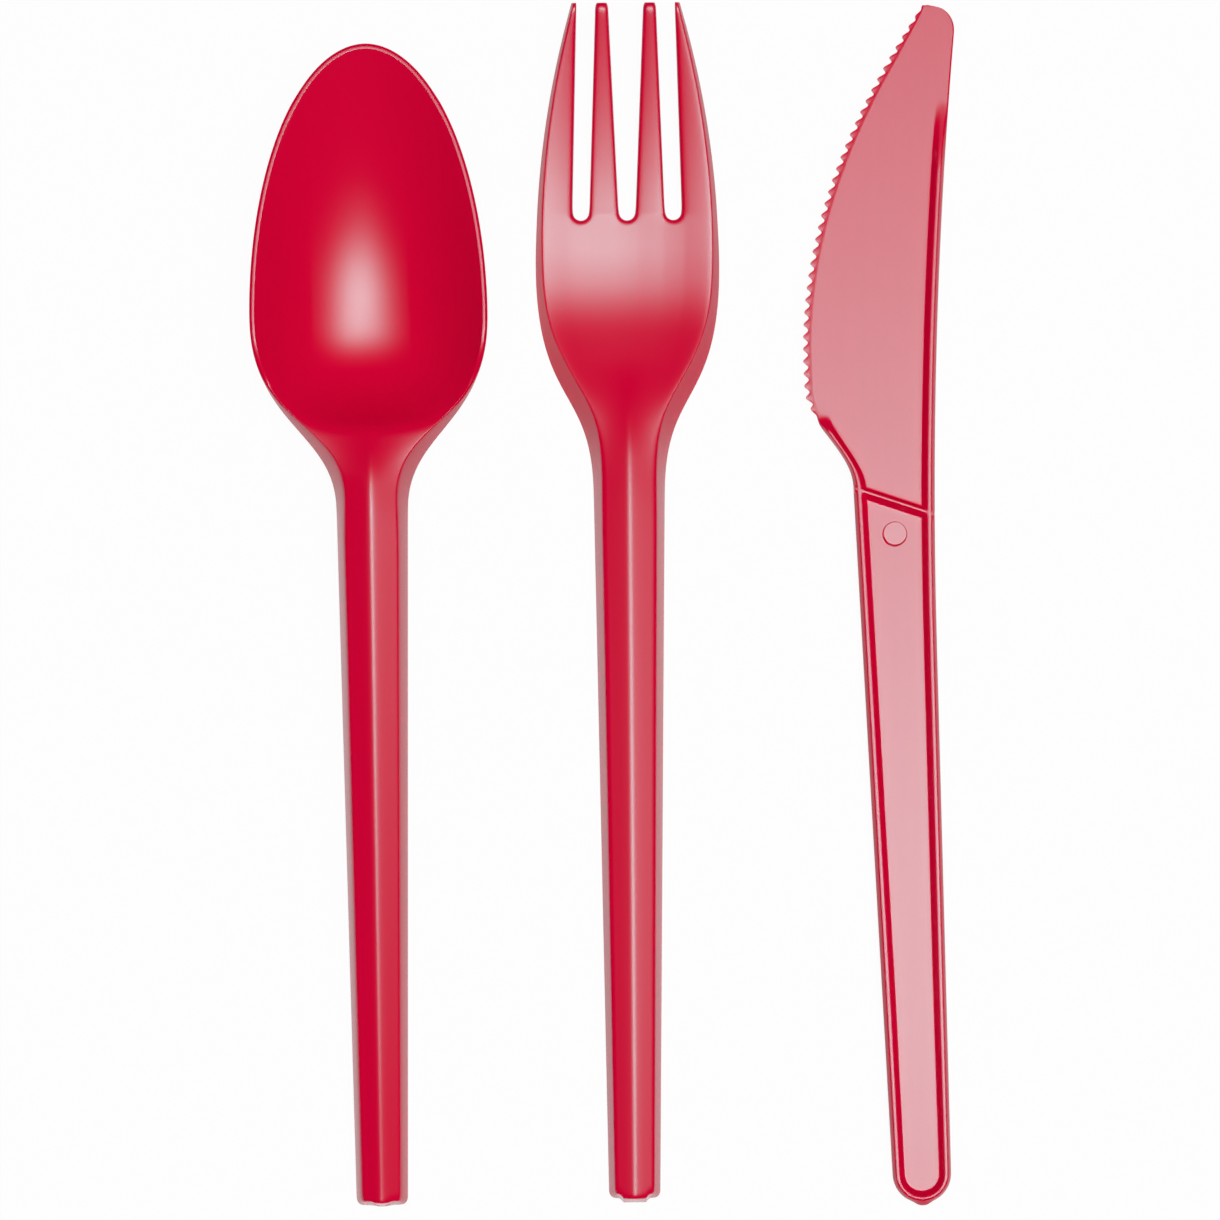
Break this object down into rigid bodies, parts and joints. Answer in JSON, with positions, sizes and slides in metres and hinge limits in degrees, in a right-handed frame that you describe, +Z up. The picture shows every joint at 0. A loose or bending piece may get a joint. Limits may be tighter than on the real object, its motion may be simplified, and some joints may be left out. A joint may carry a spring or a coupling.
{
  "type": "plastic cutlery pack",
  "caption": "Spoon, fork and knife moulded in red plastic, lying side by side: hollow ridged handles on the spoon and fork, a ribbed handle and a toothed blade on the knife.",
  "frame": {"origin": "bottom centre of the set's box, on the table", "axes": "+X from the spoon to the knife, +Y from the handle ends to the tips, +Z up from the table"},
  "size_m": [0.0988, 0.169, 0.0102],
  "materials": {
    "red_plastic": "glossy, as moulded"
  },
  "bodies": {
    "root": {"spoon": "red_plastic", "fork": "red_plastic", "knife": "red_plastic"}
  },
  "joints": []
}
